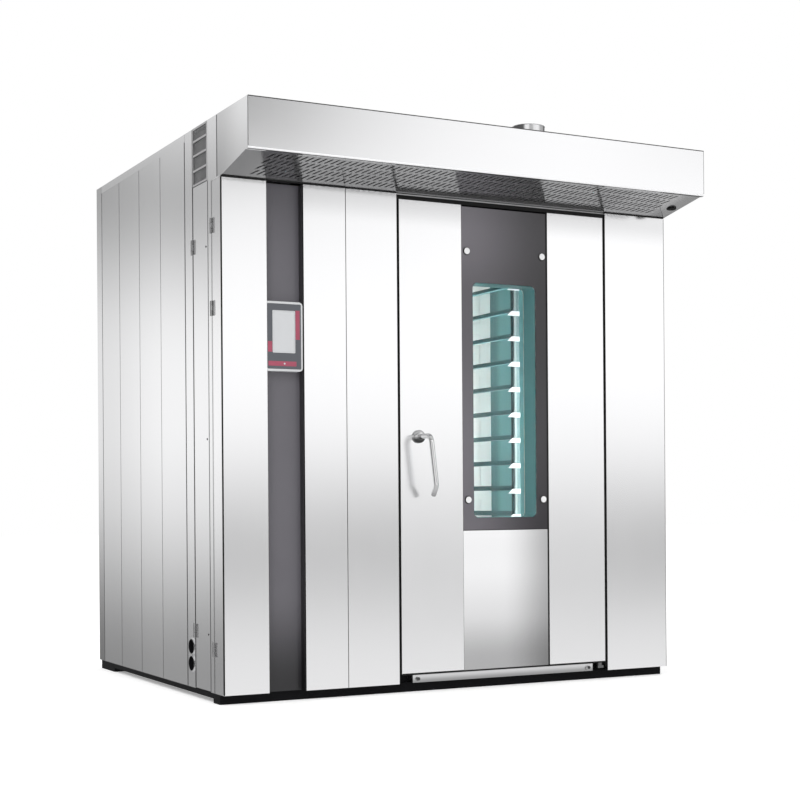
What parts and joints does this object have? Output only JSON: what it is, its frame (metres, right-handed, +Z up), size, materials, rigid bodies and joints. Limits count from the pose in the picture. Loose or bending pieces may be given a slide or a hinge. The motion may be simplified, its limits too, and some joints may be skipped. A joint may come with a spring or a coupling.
{
  "type": "rotating rack oven",
  "caption": "Rotating rack oven: insulated chamber with a glazed full-height door, a roll-in tray rack on a driven turntable, a rear fan plenum, a control door and a steam hood.",
  "frame": {"origin": "centre of the bounding box at floor level", "axes": "+Z up, the front with the oven door looks along -Y, +X to the right seen from the front"},
  "size_m": [2.0086, 1.83, 2.235],
  "materials": {
    "satin_steel": "satin-polished stainless sheet with broad soft reflections",
    "dull_steel": "plain mill-finish stainless",
    "mirror_steel": "bright polished stainless",
    "polished_tube": "bright polished tube",
    "black_paint": "matt black powder coat",
    "anthracite": "smooth dark grey coat",
    "dark_glass": "dark back-coated toughened glass, clear over the window",
    "clear_glass": "clear toughened glass with a faint teal cast",
    "lamp_glass": "frosted lamp cover",
    "black_rubber": "black silicone",
    "mineral_wool": "yellow-brown mineral wool",
    "motor_paint": "dark blue-grey machine enamel",
    "cast_housing": "painted cast iron",
    "bronze": "oiled bronze",
    "gear_steel": "greased cut steel",
    "grey_plastic": "light grey moulded plastic",
    "silver_panel": "silver-grey control plate",
    "screen": "pale glossy display",
    "wheel_rubber": "heat-proof dark grey tyre"
  },
  "bodies": {
    "root": {"base_plinth": "black_paint", "corner_posts": "satin_steel", "side_panels": "satin_steel", "rear_panels": "satin_steel", "roof_panels": "satin_steel", "side_grille": "dull_steel", "front_panels": "satin_steel", "front_frame": "black_paint", "service_ports": "black_rubber", "chamber_floor": "dull_steel", "chamber_walls": "satin_steel", "rear_air_wall": "satin_steel", "insulation": "mineral_wool", "top_deck": "dull_steel", "heater_bank": "dull_steel", "fan_motors": "motor_paint", "chamber_lamp": "lamp_glass", "steam_generator": "dull_steel", "vent_duct": "dull_steel", "threshold_bar": "satin_steel", "frame_hinges": "dull_steel", "latch_keeper": "dull_steel", "switchgear": "grey_plastic", "hood_fascia": "satin_steel", "hood_shell": "satin_steel", "hood_underside": "mirror_steel", "hood_filters": "mirror_steel", "exhaust_collar": "dull_steel", "drive_gearmotor": "motor_paint", "shaft_bearing": "cast_housing"},
    "oven_door": {"door_skins": "satin_steel", "door_glass": "dark_glass", "door_fittings": "satin_steel", "door_inner_pan": "satin_steel", "door_insulation": "mineral_wool", "inner_glass": "clear_glass", "door_gasket": "black_rubber", "pivot_bushes": "bronze", "latch_case": "dull_steel"},
    "handle": {"handle_lever": "polished_tube"},
    "latch": {"latch_bolt": "dull_steel"},
    "control_door": {"control_door_panel": "satin_steel", "control_strip": "anthracite", "control_panel": "silver_panel", "control_screen": "screen"},
    "service_hatch": {"service_door": "satin_steel"},
    "rotor": {"ring_gear": "gear_steel", "rack_shaft": "dull_steel", "turntable": "dull_steel", "rack_frame": "satin_steel"},
    "pinion": {"drive_pinion": "gear_steel"},
    "main_fan": {"circulation_fan": "dull_steel"},
    "extract_fan": {"hood_fan": "dull_steel"},
    "damper": {"vent_damper": "dull_steel"},
    "fork_left": {"caster_fork_left": "dull_steel"},
    "fork_right": {"caster_fork_right": "dull_steel"},
    "wheel_1": {"rack_wheel_1": "wheel_rubber"},
    "wheel_2": {"rack_wheel_2": "wheel_rubber"},
    "wheel_3": {"rack_wheel_3": "wheel_rubber"},
    "wheel_4": {"rack_wheel_4": "wheel_rubber"}
  },
  "joints": [
    {"name": "oven_door_hinge", "type": "hinge", "parent": "root", "child": "oven_door", "pos_m": [0.66835, -0.631, 1], "axis": [0, 0, 1], "range_deg": [0, 110]},
    {"name": "handle_turn", "type": "hinge", "parent": "oven_door", "child": "handle", "pos_m": [-0.18265, -0.644, 0.995], "axis": [0, -1, 0], "range_deg": [0, 60]},
    {"name": "latch_slide", "type": "slide", "parent": "oven_door", "child": "latch", "axis": [1, 0, 0], "range_m": [0, 0.0191]},
    {"name": "control_door_hinge", "type": "hinge", "parent": "root", "child": "control_door", "pos_m": [-1.00015, -0.556, 1], "axis": [0, 0, -1], "range_deg": [0, 100]},
    {"name": "service_door_hinge", "type": "hinge", "parent": "root", "child": "service_hatch", "pos_m": [-1.00015, -0.352, 1], "axis": [0, 0, -1], "range_deg": [0, 110]},
    {"name": "rack_turn", "type": "hinge", "parent": "root", "child": "rotor", "pos_m": [0.21385, 0.037, 0], "axis": [0, 0, 1], "continuous": true},
    {"name": "pinion_turn", "type": "hinge", "parent": "root", "child": "pinion", "pos_m": [0.39385, 0.037, 2.04], "axis": [0, 0, 1], "continuous": true},
    {"name": "main_fan_turn", "type": "hinge", "parent": "root", "child": "main_fan", "pos_m": [0.21385, 0.6, 1.5], "axis": [0, 1, 0], "continuous": true},
    {"name": "hood_fan_turn", "type": "hinge", "parent": "root", "child": "extract_fan", "pos_m": [0.29135, -0.704, 2.08], "axis": [0, 0, 1], "continuous": true},
    {"name": "damper_turn", "type": "hinge", "parent": "root", "child": "damper", "pos_m": [0.74385, -0.514, 2.09], "axis": [1, 0, 0], "range_deg": [0, 90]},
    {"name": "caster_swivel_left", "type": "hinge", "parent": "rotor", "child": "fork_left", "pos_m": [-0.00915, -0.288, 0.19], "axis": [0, 0, 1], "continuous": true},
    {"name": "wheel_1_turn", "type": "hinge", "parent": "fork_left", "child": "wheel_1", "pos_m": [-0.00915, -0.254, 0.1313], "axis": [1, 0, 0], "continuous": true},
    {"name": "caster_swivel_right", "type": "hinge", "parent": "rotor", "child": "fork_right", "pos_m": [0.43685, -0.288, 0.19], "axis": [0, 0, 1], "continuous": true},
    {"name": "wheel_2_turn", "type": "hinge", "parent": "fork_right", "child": "wheel_2", "pos_m": [0.43685, -0.254, 0.1313], "axis": [1, 0, 0], "continuous": true},
    {"name": "wheel_3_turn", "type": "hinge", "parent": "rotor", "child": "wheel_3", "pos_m": [-0.00915, 0.328, 0.1313], "axis": [1, 0, 0], "continuous": true},
    {"name": "wheel_4_turn", "type": "hinge", "parent": "rotor", "child": "wheel_4", "pos_m": [0.43685, 0.328, 0.1313], "axis": [1, 0, 0], "continuous": true}
  ],
  "couplings": [
    {"joint": "latch_slide", "follows": "handle_turn", "m_per_rad": 0.018144},
    {"joint": "pinion_turn", "follows": "rack_turn", "ratio": -4}
  ]
}
